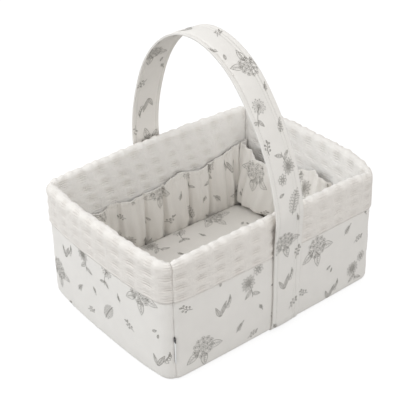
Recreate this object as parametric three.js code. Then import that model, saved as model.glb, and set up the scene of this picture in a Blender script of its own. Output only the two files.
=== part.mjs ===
// A soft layette basket: an open box of cloth over card walls, with a deep waffle-cloth cuff
// turned over the rim, gathered pockets round the inside, a padded lift-out base insert, and
// one wide strap handle sewn down the middle of both long walls.
// Millimetres, +Z up. The origin is the middle of the underside. X runs along the long side,
// the front long wall faces -Y, and the basket stands on z = 0.

import * as THREE from "three";

// Driving sizes of the basket
const length = 352; // along X, over the corners at the foot of the walls
const width = 268; // along Y, over the corners at the foot of the walls
const rimHeight = 172; // at the corners
const wallLean = 2.3; // how far each wall leans in by the time it reaches the rim
const cornerRadius = 18; // of the outer cloth, in plan
const bottomRoll = 8; // radius where the walls turn under
const shortWallBow = 10; // how far the middle of a short wall bellies out
const longWallBow = 1.5; // the strap holds the long walls nearly straight
const rimCrown = 3; // how much higher the rim is at the middle of a wall

// Cloth, card and wadding thicknesses, and the gap left between pieces that touch
const gap = 0.3;
const cottonThick = 1.5; // printed cotton backed with interlining
const waffleThick = 3; // puffy waffle cloth
const waddingThick = 2.5;
const boardThick = 2.5;

// Waffle cuff
const cuffDrop = 54; // how far the cuff hangs down the outside
const cuffProud = 2.8; // how far it stands out from the printed wall

// Base, from the floor up
const baseBoardThick = 3;
const baseLiningThick = 1.2;
const insertClothThick = 1.2;
const insertBoardThick = 2.5;
const insertFoamThick = 6.5;
const insertLipWidth = 16; // cloth turned under the insert board
const insertCrown = 1; // the insert is this much higher in its middle
const insertCornerRadius = 14;
const insertClearance = 1.5; // between the insert and the pockets that bulge over it

// Gathered pockets
const pocketClothThick = 1;
const pocketFoot = 9; // height of the seam at the pocket's foot
const hemDepth = 9; // of the fold that holds the elastic
const elasticThick = 0.8;
const elasticWidth = 6;
const cornerHem = 118; // height of the mouth at the corners
const lobeDepth = 2.2; // of the main folds
const lobesPerPocket = 3;
const longWallPockets = { count: 3, hem: 103, seamHem: 107, bulge: 6.6 };
const shortWallPockets = { count: 2, hem: 110, seamHem: 124, bulge: 13 };

// Strap handle
const strapWidth = 50;
const strapMargin = 4.6; // width of each stitched edge
const strapClothThick = 1.4;
const coreThick = 1.2;
const hingeHeight = 172; // where the strap bends when it is tipped over
const hingeStandOff = 4.5; // how much further out the strap stands there than at the cuff's hem
const archRise = 192.5; // from the bend to the top of the strap
const archLean = 9.8; // the top stands this far towards the back
const frontFootX = 7; // the strap is sewn a little off the middle of each wall
const backFootX = -2.4;
const foldAngle = 32; // degrees cut away each side of the bend, so that the strap can tip
const legFoot = 3; // height of the strap's lower ends

// Woven label in a corner seam
const labelHeight = 38;
const labelReach = 6.2;
const labelThick = 0.8;
const labelFoot = 30; // height of its lower edge

// Sizes that follow from those above
const halfLength = length / 2;
const halfWidth = width / 2;
const waddingDepth = cottonThick + gap;
const boardDepth = waddingDepth + waddingThick + gap;
const liningDepth = boardDepth + boardThick + gap;
const wallDepth = liningDepth + waffleThick;
const cuffHem = rimHeight - cuffDrop;
const baseBoardFoot = cottonThick + gap;
const baseLiningFoot = baseBoardFoot + baseBoardThick + gap;
const insertFoot = baseLiningFoot + baseLiningThick + gap;
const insertBoardFoot = insertFoot + insertClothThick + gap;
const insertFoamFoot = insertBoardFoot + insertBoardThick + gap;
const insertFoamTop = insertFoamFoot + insertFoamThick;
const insertTop = insertFoamTop + gap + insertClothThick;
const hemThick = 2 * pocketClothThick + elasticThick + 2 * gap;

const cloth = (color, roughness = 0.92) =>
  new THREE.MeshStandardMaterial({ color, roughness, metalness: 0 });
const printedCotton = cloth(0xe6e3dd);
const waffle = cloth(0xe9e6e1);
const plainCotton = cloth(0xe8e5df);
const wadding = cloth(0xf4f3f0, 1);
const card = cloth(0xb9a684, 0.85);
const elasticWeb = cloth(0xf0efec, 0.8);
const labelTape = cloth(0xf2f1ee, 0.7);

const basket = new THREE.Group();

function addPiece(name, geometry, material) {
  const mesh = new THREE.Mesh(geometry, material);
  mesh.name = name;
  basket.add(mesh);
  return mesh;
}

// A closed solid through a row of rings that have equal numbers of points. The outline gives
// the rings' shape in two dimensions, for the end faces.
function loft(rings, outline) {
  const count = outline.length;
  const last = (rings.length - 1) * count;
  const index = [];
  for (let i = 0; i < rings.length - 1; i += 1) {
    for (let j = 0; j < count; j += 1) {
      const a = i * count + j;
      const b = i * count + ((j + 1) % count);
      index.push(a, b, b + count, a, b + count, a + count);
    }
  }
  const clockwise = THREE.ShapeUtils.isClockWise(outline);
  for (const face of THREE.ShapeUtils.triangulateShape(outline, [])) {
    const [a, b, c] = clockwise ? [face[0], face[2], face[1]] : face;
    index.push(a, c, b, last + a, last + b, last + c);
  }
  const points = rings.flat();
  if (enclosedVolume(points, index) < 0) index.reverse();
  const geometry = new THREE.BufferGeometry().setFromPoints(points);
  geometry.setIndex(index);
  geometry.computeVertexNormals();
  return geometry;
}

function enclosedVolume(points, index) {
  let sum = 0;
  const across = new THREE.Vector3();
  for (let i = 0; i < index.length; i += 3) {
    across.crossVectors(points[index[i + 1]], points[index[i + 2]]);
    sum += points[index[i]].dot(across);
  }
  return sum / 6;
}

// The soft box bellies out: every point of it is moved a little from the straight-sided box.
function belly(p) {
  const alongX = Math.min(Math.abs(p.x) / halfLength, 1);
  const alongY = Math.min(Math.abs(p.y) / halfWidth, 1);
  const up = Math.min(p.z / rimHeight, 1);
  const crown = alongX ** 2 * (1 - alongY ** 2) + alongY ** 2 * (1 - alongX ** 2);
  p.x += Math.sign(p.x) * shortWallBow * alongX ** 2 * (1 - alongY ** 3);
  p.y += Math.sign(p.y) * longWallBow * alongY ** 2 * (1 - alongX ** 3);
  p.z += rimCrown * up ** 3 * crown;
  return p;
}

// The four walls. Each is worked out as if it were the front wall and then turned round.
const walls = [
  { side: "front", along: halfLength, across: halfWidth, turn: 0 },
  { side: "right", along: halfWidth, across: halfLength, turn: Math.PI / 2 },
  { side: "back", along: halfLength, across: halfWidth, turn: Math.PI },
  { side: "left", along: halfWidth, across: halfLength, turn: -Math.PI / 2 },
];
const upAxis = new THREE.Vector3(0, 0, 1);

const leanAt = (z) => (wallLean * z) / rimHeight;

// A layer of a wall: its section is drawn as (distance out from the foot line, height), and
// runs from one corner seam to the other, or along the flat of the wall only.
function wallLayer(wall, section, { cornerSteps = 3, wallSteps = 6, flatOnly = false } = {}) {
  const straight = wall.along - cornerRadius;
  const stations = [];
  if (!flatOnly) {
    for (let i = 0; i < cornerSteps; i += 1) stations.push({ end: -1, part: i / cornerSteps });
  }
  for (let i = 0; i <= wallSteps; i += 1) {
    stations.push({ end: 0, x: straight * ((2 * i) / wallSteps - 1) });
  }
  if (!flatOnly) {
    for (let i = cornerSteps - 1; i >= 0; i -= 1) stations.push({ end: 1, part: i / cornerSteps });
  }
  const rings = stations.map((station) =>
    section.map(({ x: out, y: z }) => {
      const radius = cornerRadius + out - leanAt(z);
      const p = new THREE.Vector3(station.x, -(wall.across - cornerRadius) - radius, z);
      if (station.end) {
        const seam = Math.asin(gap / 2 / radius);
        const angle = (Math.PI / 4 - seam) * (1 - station.part);
        p.x = station.end * (straight + radius * Math.sin(angle));
        p.y = -(wall.across - cornerRadius) - radius * Math.cos(angle);
      }
      return belly(p.applyAxisAngle(upAxis, wall.turn));
    }),
  );
  return loft(rings, section);
}

const point = (x, y) => new THREE.Vector2(x, y);

function arcPoints(cx, cy, radius, from, to, steps) {
  return Array.from({ length: steps + 1 }, (_, i) => {
    const angle = THREE.MathUtils.degToRad(THREE.MathUtils.lerp(from, to, i / steps));
    return point(cx + radius * Math.cos(angle), cy + radius * Math.sin(angle));
  });
}

// Printed outer panel: from the bottom seam round the turn and up to the cuff's hem.
const panelSection = [
  ...arcPoints(-bottomRoll, bottomRoll, bottomRoll, 270, 360, 4),
  point(0, cuffHem - gap),
  point(-cottonThick, cuffHem - gap),
  ...arcPoints(-bottomRoll, bottomRoll, bottomRoll - cottonThick, 360, 270, 3),
];

// Waffle cuff: up the outside from its hem, over the rim and down the inside as the lining.
const rimRadius = (wallDepth + cuffProud) / 2;
const rimShoulder = rimHeight - rimRadius;
const channelRadius = (liningDepth - cottonThick) / 2; // of the room inside the rim's fold
const hemTurn = 0.8; // rounding of the cuff's lower edge
const cuffSection = [
  point(cuffProud - hemTurn, cuffHem),
  point(cuffProud, cuffHem + 2 * hemTurn),
  ...arcPoints(cuffProud - rimRadius, rimShoulder, rimRadius, 0, 180, 8),
  point(-wallDepth, baseLiningFoot),
  point(-liningDepth, baseLiningFoot),
  ...arcPoints(-cottonThick - channelRadius, rimShoulder, channelRadius, 180, 0, 4),
  point(-cottonThick, cuffHem),
];

// Wadding and card stand between the outer cloth and the lining, up to the rim's fold.
const sheetSection = (depth, thick, foot) => [
  point(-depth, foot),
  point(-depth, rimShoulder - gap),
  point(-depth - thick, rimShoulder - gap),
  point(-depth - thick, foot),
];

for (const wall of walls) {
  addPiece(`${wall.side}_panel`, wallLayer(wall, panelSection), printedCotton);
  addPiece(`${wall.side}_cuff`, wallLayer(wall, cuffSection), waffle);
  addPiece(
    `${wall.side}_wadding`,
    wallLayer(wall, sheetSection(waddingDepth, waddingThick, bottomRoll), { cornerSteps: 2 }),
    wadding,
  );
  addPiece(
    `${wall.side}_board`,
    wallLayer(wall, sheetSection(boardDepth, boardThick, baseLiningFoot), { flatOnly: true }),
    card,
  );
}

// Flat pieces of the base. Each is a rounded rectangle at its largest, built up level by level.
function roundedOutline(halfX, halfY, radius, cornerSteps = 4, sideSteps = 4) {
  const corners = [point(1, 1), point(-1, 1), point(-1, -1), point(1, -1)];
  const turns = corners.flatMap((sign, quarter) =>
    arcPoints(
      sign.x * (halfX - radius),
      sign.y * (halfY - radius),
      radius,
      90 * quarter,
      90 * quarter + 90,
      cornerSteps,
    ),
  );
  return turns.flatMap((p, i) => {
    const next = turns[(i + 1) % turns.length];
    const steps = i % (cornerSteps + 1) === cornerSteps ? sideSteps : 1;
    return Array.from({ length: steps }, (_, k) => p.clone().lerp(next, k / steps));
  });
}

function plate(halfX, halfY, radius, levels) {
  const smallestRadius = 2;
  const outlineAt = (inset) =>
    roundedOutline(halfX - inset, halfY - inset, Math.max(radius - inset, smallestRadius));
  const rings = levels.map(([inset, z]) =>
    outlineAt(inset).map((p) => belly(new THREE.Vector3(p.x, p.y, z))),
  );
  return loft(rings, outlineAt(0));
}

function basePlate(inset, foot, thick) {
  const levels = [
    [0, foot],
    [0, foot + thick],
  ];
  return plate(halfLength - inset, halfWidth - inset, cornerRadius - inset, levels);
}

const bottomInset = bottomRoll + gap;
addPiece("bottom_panel", basePlate(bottomInset, 0, cottonThick), printedCotton);
addPiece("base_board", basePlate(bottomInset, baseBoardFoot, baseBoardThick), card);
const liningInset = wallDepth + gap;
addPiece("base_lining", basePlate(liningInset, baseLiningFoot, baseLiningThick), plainCotton);

// Lift-out insert: card and foam under a cloth cover that is turned in beneath the card.
const pocketReach = ({ bulge }) => gap + hemThick + bulge + lobeDepth;
const insertInset = (pockets) =>
  wallDepth + leanAt(cornerHem) + pocketReach(pockets) + insertClearance;
const insertHalfX = halfLength - insertInset(shortWallPockets);
const insertHalfY = halfWidth - insertInset(longWallPockets);
const insertEdge = insertClothThick + gap; // the cover's thickness at the rim of the insert
const crownInset = 55; // the crown is flat inside this border
const insertPiece = (inset, levels) =>
  plate(insertHalfX - inset, insertHalfY - inset, insertCornerRadius - inset, levels);

addPiece(
  "base_insert_board",
  insertPiece(insertEdge, [
    [0, insertBoardFoot],
    [0, insertBoardFoot + insertBoardThick],
  ]),
  card,
);
addPiece(
  "base_insert_foam",
  insertPiece(insertEdge, [
    [0, insertFoamFoot],
    [0, insertFoamTop - 2],
    [2, insertFoamTop],
    [crownInset - insertEdge, insertFoamTop + insertCrown],
  ]),
  wadding,
);
addPiece(
  "base_insert_cover",
  insertPiece(0, [
    [crownInset, insertFoamTop + gap + insertCrown],
    [insertEdge + 2, insertFoamTop + gap],
    [insertClothThick, insertFoamTop - 2],
    [insertClothThick, insertFoot + insertClothThick],
    [insertLipWidth, insertFoot + insertClothThick],
    [insertLipWidth, insertFoot],
    [1, insertFoot],
    [0, insertFoot + 1],
    [0, insertTop - 3.5],
    [1, insertTop - 1],
    [insertEdge + 2, insertTop],
    [crownInset, insertTop + insertCrown],
  ]),
  printedCotton,
);

// Gathered pockets. A pocket strip runs the length of a wall and is stitched down at its seams;
// between them its mouth is drawn in by elastic and its cloth falls in lobes.
const cornerReach = (cornerRadius - liningDepth) * 0.5 + gap; // clears the lining's round corner

function mouthHeight(pockets, s) {
  const place = ((s + 1) / 2) * pockets.count;
  const first = Math.min(Math.floor(place), pockets.count - 1);
  const part = place - first;
  const seamHeight = (k) => (k === 0 || k === pockets.count ? cornerHem : pockets.seamHem);
  const left = (seamHeight(first) - pockets.hem) * Math.max(0, 1 - 2 * part) ** 2;
  const right = (seamHeight(first + 1) - pockets.hem) * Math.max(0, 2 * part - 1) ** 2;
  return { part, top: pockets.hem + left + right };
}

// How far the front of the pocket cloth stands off the lining, at a part of its height.
function standOff(pockets, part, up) {
  const swell = Math.sin(Math.PI * part) ** 0.7 * Math.sin(Math.PI * (0.04 + 0.56 * up));
  const lobe = Math.abs(Math.sin(Math.PI * lobesPerPocket * part)) * (0.4 + 0.6 * up);
  const flat = THREE.MathUtils.lerp(pocketClothThick, hemThick, Math.min(1, up / 0.85));
  return gap + flat + pockets.bulge * swell + lobeDepth * lobe;
}

// Rings along a wall of points given as (distance off the lining, height).
function alongWall(wall, pockets, sectionAt) {
  const steps = 6 * lobesPerPocket * pockets.count;
  return Array.from({ length: steps + 1 }, (_, i) => {
    const s = (2 * i) / steps - 1;
    return sectionAt(mouthHeight(pockets, s)).map(({ x: off, y: z }) => {
      const inset = wallDepth + leanAt(z) + off;
      const p = new THREE.Vector3(s * (wall.along - inset - cornerReach), inset - wall.across, z);
      return belly(p.applyAxisAngle(upAxis, wall.turn));
    });
  });
}

function pocketSection(pockets, { part, top }) {
  const hemFoot = top - hemDepth;
  const rows = [0, 0.3, 0.6, 1].map((up) =>
    point(standOff(pockets, part, up), THREE.MathUtils.lerp(pocketFoot, hemFoot, up)),
  );
  const front = rows[3].x;
  const back = front - hemThick;
  const fold = 1.4; // height of the turn at the top of the hem
  return [
    ...rows,
    point(front, top - fold / 2),
    point((front + back) / 2, top),
    point(back, top - fold / 2),
    point(back, hemFoot),
    point(back + pocketClothThick, hemFoot),
    point(back + pocketClothThick, top - fold),
    point(front - pocketClothThick, top - fold),
    ...rows.reverse().map((p) => point(p.x - pocketClothThick, p.y)),
  ];
}

function elasticSection(pockets, { part, top }) {
  const front = standOff(pockets, part, 1) - pocketClothThick - gap;
  const foot = top - hemDepth + 1;
  return [
    point(front, foot),
    point(front, foot + elasticWidth),
    point(front - elasticThick, foot + elasticWidth),
    point(front - elasticThick, foot),
  ];
}

for (const wall of walls) {
  const pockets = wall.along === halfLength ? longWallPockets : shortWallPockets;
  for (const [name, sectionOf, material] of [
    ["pocket", pocketSection, printedCotton],
    ["pocket_elastic", elasticSection, elasticWeb],
  ]) {
    const sectionAt = (place) => sectionOf(pockets, place);
    const outline = sectionAt(mouthHeight(pockets, 0));
    const geometry = loft(alongWall(wall, pockets, sectionAt), outline);
    addPiece(`${wall.side}_${name}`, geometry, material);
  }
}

// Strap handle: two cotton faces stitched along their edges over a stiff core. Its ends are sewn
// down the outside of the long walls, over the cuff, and it bends where it leaves the rim.
const strapHalf = strapWidth / 2;
const coreHalf = strapHalf - strapMargin;
const faceInner = coreThick / 2 + gap;
const faceOuter = faceInner + strapClothThick;
const legInner = halfWidth - leanAt(cuffHem) + cuffProud + longWallBow + gap;
const archFoot = legInner + hingeStandOff + faceOuter;
const foldSlope = Math.tan(THREE.MathUtils.degToRad(foldAngle));
const across = new THREE.Vector3(1, 0, 0);

class HandleArch extends THREE.Curve {
  getPoint(t, target = new THREE.Vector3()) {
    const rise = Math.sin(Math.PI * t) ** 1.087; // a half ellipse with slightly fuller shoulders
    const swing = Math.cos(Math.PI * t);
    const spread = Math.sign(swing) * Math.abs(swing) ** 0.93;
    return target.set(
      THREE.MathUtils.lerp(frontFootX, backFootX, t),
      archLean * rise - archFoot * spread,
      hingeHeight + archRise * rise,
    );
  }
}

// Section of one face, as (place across the strap, height off its middle): its edges are drawn
// together past the core. The other face is its mirror image.
const faceSection = [
  point(-strapHalf, gap / 2),
  point(-coreHalf - 1, gap / 2),
  point(-coreHalf, faceInner),
  point(0, faceInner),
  point(coreHalf, faceInner),
  point(coreHalf + 1, gap / 2),
  point(strapHalf, gap / 2),
  point(strapHalf, gap / 2 + strapClothThick),
  point(coreHalf + 2, gap / 2 + strapClothThick),
  point(coreHalf, faceOuter),
  point(0, faceOuter),
  point(-coreHalf, faceOuter),
  point(-coreHalf - 2, gap / 2 + strapClothThick),
  point(-strapHalf, gap / 2 + strapClothThick),
];
const coreSection = [-coreHalf + gap, 0, coreHalf - gap]
  .map((x) => point(x, -coreThick / 2))
  .concat([coreHalf - gap, 0, -coreHalf + gap].map((x) => point(x, coreThick / 2)));

// Rings from foot to foot; the end rings follow the cut that lets the strap bend.
function alongArch(section) {
  const arch = new HandleArch();
  const archLength = arch.getLength();
  const steps = 28;
  const rings = Array.from({ length: steps + 1 }, (_, i) =>
    section.map(({ x, y }) => {
      const cut = (gap / 2 + Math.abs(x) * foldSlope) / archLength;
      const place = THREE.MathUtils.clamp(i / steps, cut, 1 - cut);
      const outward = new THREE.Vector3().crossVectors(across, arch.getTangentAt(place));
      const middle = arch.getPointAt(place);
      return middle.addScaledVector(across, x).addScaledVector(outward.normalize(), y);
    }),
  );
  return loft(rings, section);
}

const mirrored = (section) => section.map(({ x, y }) => point(x, -y));
addPiece("handle_outer_face", alongArch(faceSection), printedCotton);
addPiece("handle_core", alongArch(coreSection), elasticWeb);
addPiece("handle_inner_face", alongArch(mirrored(faceSection)), printedCotton);

// The sewn-down ends: a cover folded round the core, flat against the wall.
const legCoverSection = [
  point(-strapHalf, 0),
  point(-coreHalf, 0),
  point(-coreHalf, gap + coreThick + gap),
  point(0, gap + coreThick + gap),
  point(coreHalf, gap + coreThick + gap),
  point(coreHalf, 0),
  point(strapHalf, 0),
  point(strapHalf, 2 * strapClothThick),
  point(coreHalf + 1, 2 * faceOuter - strapClothThick),
  point(coreHalf - 1, 2 * faceOuter),
  point(0, 2 * faceOuter),
  point(1 - coreHalf, 2 * faceOuter),
  point(-coreHalf - 1, 2 * faceOuter - strapClothThick),
  point(-strapHalf, 2 * strapClothThick),
];
const legCoreSection = coreSection.map(({ x, y }) => point(x, y + gap + coreThick / 2));

// How far out the strap's inner side lies: it follows the turn of the wall at the bottom, hangs
// straight to the cuff's hem and comes away from the cuff above it.
function legReach(z) {
  const away = Math.max(0, z - cuffHem) / (hingeHeight - cuffHem);
  if (z > bottomRoll) return legInner + hingeStandOff * away;
  const turnedIn = bottomRoll - Math.sqrt(bottomRoll ** 2 - (bottomRoll - z) ** 2);
  return halfWidth + longWallBow + gap - turnedIn;
}

function alongLeg(section, side, footX) {
  const rolled = [legFoot, 0.65 * bottomRoll, bottomRoll];
  const rows = [...rolled, 2 * bottomRoll, cuffHem / 2, cuffHem].map((z) => () => z);
  const cutRow = (x) => hingeHeight - gap / 2 - Math.abs(x) * foldSlope;
  const rings = [...rows, cutRow].map((heightAt) =>
    section.map(({ x, y }) => {
      const z = heightAt(x);
      return new THREE.Vector3(footX + x, side * (legReach(z) + y), z);
    }),
  );
  return loft(rings, section);
}

for (const [name, side, footX] of [
  ["front", -1, frontFootX],
  ["back", 1, backFootX],
]) {
  addPiece(`${name}_strap_cover`, alongLeg(legCoverSection, side, footX), printedCotton);
  addPiece(`${name}_strap_core`, alongLeg(legCoreSection, side, footX), elasticWeb);
}

// A folded woven label stands out of the seam at the corner between front and left walls.
const label = new THREE.BoxGeometry(labelReach, labelThick, labelHeight);
const seamRadius = cornerRadius - leanAt(labelFoot) + gap;
label.translate(seamRadius + labelReach / 2, 0, labelFoot + labelHeight / 2);
label.rotateZ(-Math.PI * 0.75);
label.translate(cornerRadius - halfLength, cornerRadius - halfWidth, 0);
const labelPoints = label.getAttribute("position");
for (let i = 0; i < labelPoints.count; i += 1) {
  const p = belly(new THREE.Vector3().fromBufferAttribute(labelPoints, i));
  labelPoints.setXYZ(i, p.x, p.y, p.z);
}
addPiece("side_label", label, labelTape);

export default basket;
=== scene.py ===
import itertools
import math

import bpy
import numpy as np
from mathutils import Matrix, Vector


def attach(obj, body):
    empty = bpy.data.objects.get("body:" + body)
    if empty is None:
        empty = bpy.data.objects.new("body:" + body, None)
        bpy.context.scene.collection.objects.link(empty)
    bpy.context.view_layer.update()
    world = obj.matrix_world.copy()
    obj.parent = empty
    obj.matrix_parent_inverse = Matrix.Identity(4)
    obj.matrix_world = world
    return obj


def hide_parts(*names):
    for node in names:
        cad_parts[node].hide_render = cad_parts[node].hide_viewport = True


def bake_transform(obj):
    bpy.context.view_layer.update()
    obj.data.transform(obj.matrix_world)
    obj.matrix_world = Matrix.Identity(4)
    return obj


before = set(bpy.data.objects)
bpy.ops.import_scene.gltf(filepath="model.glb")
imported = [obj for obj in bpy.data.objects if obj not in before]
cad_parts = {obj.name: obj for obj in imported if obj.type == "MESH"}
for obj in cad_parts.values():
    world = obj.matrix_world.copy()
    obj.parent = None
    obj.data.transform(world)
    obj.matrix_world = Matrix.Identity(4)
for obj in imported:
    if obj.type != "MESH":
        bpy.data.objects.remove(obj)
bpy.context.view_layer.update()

# The studio
# The basket stands on a white table in front of a white wall. Soft light comes from all round,
# a little more of it from the left and the front, and the camera looks down over the near left
# corner.
bpy.ops.object.camera_add(
    location=(-0.72297, -0.89231, 0.82700), rotation=(1.019552, 0.015017, -0.685896)
)
camera = bpy.context.object
camera.name = "studio_camera"
camera.data.lens = 87.083
bpy.context.scene.camera = camera
bpy.context.scene.view_settings.view_transform = "Standard"


def change(thing, **settings):
    for name, value in settings.items():
        setattr(thing, name, value)


def set_inputs(node, inputs):
    """Gives inputs of a shader node their values, or links them to outputs of other nodes."""
    for name, value in inputs.items():
        if isinstance(value, bpy.types.NodeSocket):
            node.id_data.links.new(value, node.inputs[name])
        else:
            node.inputs[name].default_value = value


def add_node(owner, kind, output, inputs=None, **settings):
    """Adds a shader node to a material or a world, and returns the output that is asked for."""
    node = owner.node_tree.nodes.new("ShaderNode" + kind)
    change(node, **settings)
    set_inputs(node, inputs or {})
    return node.outputs[output]


def set_surface(material, inputs):
    set_inputs(material.node_tree.nodes["Principled BSDF"], inputs)


def new_surface(name, inputs):
    material = bpy.data.materials.new(name)
    material.use_nodes = True
    set_surface(material, inputs)
    return material


def seen_directly(owner):
    """1 for rays from the camera, from a gloss or through glass, and 0 for all other light."""
    seen = 0.0
    for kind in ("Is Camera Ray", "Is Glossy Ray", "Is Transmission Ray"):
        ray = add_node(owner, "LightPath", kind)
        seen = add_node(owner, "Math", 0, {0: seen, 1: ray}, operation="MAXIMUM")
    return seen


room = bpy.data.worlds.new("white_room")
bpy.context.scene.world = room
room.use_nodes = True
room_levels = {"Value": seen_directly(room), "To Min": 0.76, "To Max": 1.0}
room_level = add_node(room, "MapRange", "Result", room_levels)
set_inputs(room.node_tree.nodes["Background"], {"Color": (1, 1, 1, 1), "Strength": room_level})

table_drop = 0.0004  # the table lies this far below the feet of the model
bpy.ops.mesh.primitive_plane_add(size=7, location=(0, 0, -table_drop))
table_top = bpy.context.object
table_top.name = "white_table"
white_board = new_surface("white_table_board", {
    "Base Color": (0.28, 0.28, 0.28, 1), "Roughness": 0.8, "Specular IOR Level": 0.1,
    "Emission Color": (1, 1, 1, 1),
})
board_levels = {0: seen_directly(white_board), 1: 0.64, 2: 0.16}
board_glow = add_node(white_board, "Math", 0, board_levels, operation="MULTIPLY_ADD")
set_surface(white_board, {"Emission Strength": board_glow})
table_top.data.materials.append(white_board)


def softbox(name, place, width, power, colour=(1, 1, 1)):
    """A square lamp that faces the middle of the basket."""
    towards = Vector((0, 0, 0.12)) - Vector(place)
    bpy.ops.object.light_add(
        type="AREA", location=place, rotation=towards.to_track_quat("-Z", "Y").to_euler()
    )
    bpy.context.object.name = name
    change(bpy.context.object.data, size=width, energy=power, color=colour)


softbox("lamp_left", (-1.5, 0.55, 1.15), 1.2, 14.0, (0.93, 0.965, 1.0))
softbox("lamp_front", (0.1, -2.1, 0.85), 1.3, 7.6)
softbox("lamp_above", (0.0, 0.3, 2.2), 2.6, 4.0)


# Printed outer walls
# Four panels of off-white cotton with a grey line print, backed with wadding over stiff card.
# Each is sewn to its neighbours at the corners and rolls under to the bottom panel; its top
# edge is hidden under the cuff.
half_length, half_width, foot_radius = 0.176, 0.134, 0.018
rim_height, wall_lean = 0.172, 0.0023
arc = math.pi / 2 * foot_radius
long_run = 2 * (half_length - foot_radius)
short_run = 2 * (half_width - foot_radius)
lap = 2 * long_run + 2 * short_run + 4 * arc
marks = np.cumsum(
    [0, long_run / 2, arc, short_run, arc, long_run, arc, short_run, arc, long_run / 2]
)
post_x = (half_length - foot_radius) * np.array([0, 1, 1, 1, 1, -1, -1, -1, -1, 0])
post_y = (half_width - foot_radius) * np.array([-1, -1, -1, 1, 1, 1, 1, -1, -1, -1])
facing = np.radians([-90, -90, 0, 0, 90, 90, 180, 180, 270, 270])
short_bow, long_bow = 0.0089, 0.0014  # how far the short and the long walls bow out
rim_bow, rim_crown = 0.0035, 0.0032  # what the short walls' rims add, and how far rims arch up
left_sink, right_sink = 0.0028, 0.0032
long_belly = 0.003
near_seam_shift = 0.0055  # the seam by the label has drifted round onto the front wall
corner_names = ("front_right", "back_right", "back_left", "front_left")
corner_seams = {name: (marks[k] + marks[k + 1]) / 2 for name, k in zip(corner_names, (1, 3, 5, 7))}
corner_seams["front_left"] += near_seam_shift
wall_spans = {
    "front": (corner_seams["front_left"] - lap, corner_seams["front_right"]),
    "right": (corner_seams["front_right"], corner_seams["back_right"]),
    "back": (corner_seams["back_right"], corner_seams["back_left"]),
    "left": (corner_seams["back_left"], corner_seams["front_left"]),
}


def near(distance, width):
    """1 at no distance, and smoothly down to 0 beyond a width."""
    return np.exp(-((distance / width) ** 2))


def on_wall(s, z, out):
    """A point of the soft box, s round its foot from the middle of the front wall, at a height
    and a distance out from the printed cloth. The short walls belly out more than the long."""
    s = np.mod(s, lap)
    turn = np.interp(s, marks, facing)
    reach = foot_radius + out - wall_lean * z / rim_height
    x = np.interp(s, marks, post_x) + reach * np.cos(turn)
    y = np.interp(s, marks, post_y) + reach * np.sin(turn)
    along_x = np.minimum(np.abs(x) / half_length, 1)
    along_y = np.minimum(np.abs(y) / half_width, 1)
    up = np.clip(z / rim_height, 0, 1)
    crown = along_x**2 * (1 - along_y**2) + along_y**2 * (1 - along_x**2)
    x = x + np.sign(x) * (short_bow + rim_bow * up) * along_x**2 * (1 - along_y**3)
    y = y + np.sign(y) * long_bow * along_y**2 * (1 - along_x**3)
    # the rim has sunk at the far left corner, and a little at the front right one
    to_left = np.clip(-x / half_length, 0, 1) * np.clip(y / half_width, 0, 1) ** 4
    to_right = near(s - corner_seams["front_right"], 0.030)
    sunk = up**3 * (left_sink * to_left + right_sink * to_right)
    x = x + up**3 * (0.0012 * to_left**3 - 0.0022 * to_right)
    y = y - up**3 * 0.0012 * to_left**3
    return np.stack([x, y, z + rim_crown * up**3 * crown - sunk], axis=-1)


def distance_round(s, *places):
    """Distance round the basket from s to the nearest of some places."""
    gaps = [np.abs(np.mod(s - place + lap / 2, lap) - lap / 2) for place in places]
    return np.min(gaps, axis=0)


def belly(s, z):
    """The long walls' outer cloth stands out a little more at mid-length, below the cuff."""
    middle = np.clip(1 - (distance_round(s, 0, lap / 2) / (long_run / 2)) ** 3, 0, 1)
    return long_belly * middle * np.sin(math.pi * np.clip(z / rim_height, 0, 1) ** 0.8)


def uneven(a, b, size, seed):
    """A smooth, never repeating unevenness between -1 and 1."""
    p, q = a / size, b / size
    waves = np.sin(2.1 * p + 1.3 * q + seed) + np.sin(1.3 * p - 2.3 * q + 2.7 * seed)
    finer = np.sin(3.7 * p + 0.7 * q + 4.1 * seed) + np.sin(0.8 * p + 3.3 * q + 1.9 * seed)
    return (waves + 0.6 * finer) / 3.2


def ease(x):
    x = np.clip(x, 0, 1)
    return x * x * (3 - 2 * x)


def mark_cut(mesh, places):
    """Gives a mesh its UV map, from the place of each point on the flat cloth."""
    corner_of = np.empty(len(mesh.loops), dtype=int)
    mesh.loops.foreach_get("vertex_index", corner_of)
    mesh.uv_layers.new(name="cut").data.foreach_set("uv", places[corner_of].ravel())


def lay_cloth(name, cloth, cut, pitch, shape):
    """Cuts a flat rectangle of cloth, given as left, right, foot and top, and lays it over a
    shape given as shape(u, v). Its UV map holds u and v in metres, so weave and print follow
    the cloth."""
    left, right, foot, top = cut
    columns = max(2, round((right - left) / pitch[0]))
    rows = max(2, round((top - foot) / pitch[1]))
    bpy.ops.mesh.primitive_grid_add(
        x_subdivisions=columns, y_subdivisions=rows, size=1, calc_uvs=False
    )
    piece = bpy.context.object
    piece.name = piece.data.name = name
    mesh = piece.data
    flat = np.empty(len(mesh.vertices) * 3)
    mesh.vertices.foreach_get("co", flat)
    flat = flat.reshape(-1, 3)
    u = left + (flat[:, 0] + 0.5) * (right - left)
    v = foot + (flat[:, 1] + 0.5) * (top - foot)
    mark_cut(mesh, np.stack([u, v], -1))
    mesh.vertices.foreach_set("co", shape(u, v).ravel())
    mesh.update()
    mesh.materials.append(cloth)
    bpy.ops.object.shade_smooth()
    return piece


def work(piece, kind, **settings):
    """Works a piece with a modifier of some kind."""
    bpy.context.view_layer.objects.active = piece
    modifier = piece.modifiers.new(kind, kind)
    change(modifier, **settings)
    bpy.ops.object.modifier_apply(modifier=modifier.name)


def thicken(piece, thickness):
    """Gives a laid cloth its thickness, behind its right side."""
    work(piece, "SOLIDIFY", thickness=thickness, offset=-1, use_rim=True)


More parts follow.
